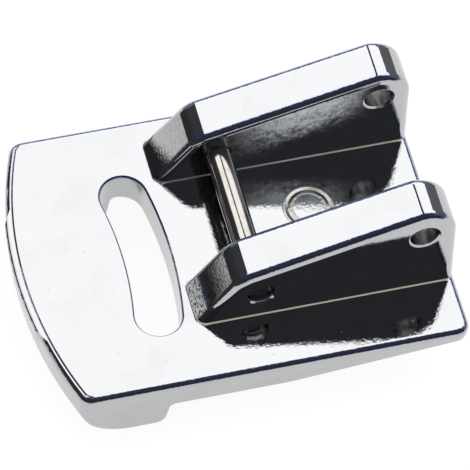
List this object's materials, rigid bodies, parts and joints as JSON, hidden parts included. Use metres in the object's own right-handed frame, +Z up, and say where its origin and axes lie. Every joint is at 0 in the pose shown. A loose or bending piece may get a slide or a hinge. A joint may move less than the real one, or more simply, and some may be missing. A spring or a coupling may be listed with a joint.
{
  "type": "sewing machine presser foot",
  "caption": "Clip-on gathering foot for a sewing machine: chrome plate with a thick front sole, a curved needle slot and wedge-shaped ears that carry a steel cross pin.",
  "frame": {"origin": "on the cross pin's axis, midway between the ears", "axes": "+X along the pin to the operator's right, +Y to the back of the machine, +Z up from the plate"},
  "size_m": [0.0213, 0.0291, 0.0127],
  "materials": {
    "plated_casting": "bright plating over a die casting",
    "pin_steel": "drawn bright steel"
  },
  "bodies": {
    "root": {"foot_body": "plated_casting", "cross_pin": "pin_steel"}
  },
  "joints": []
}
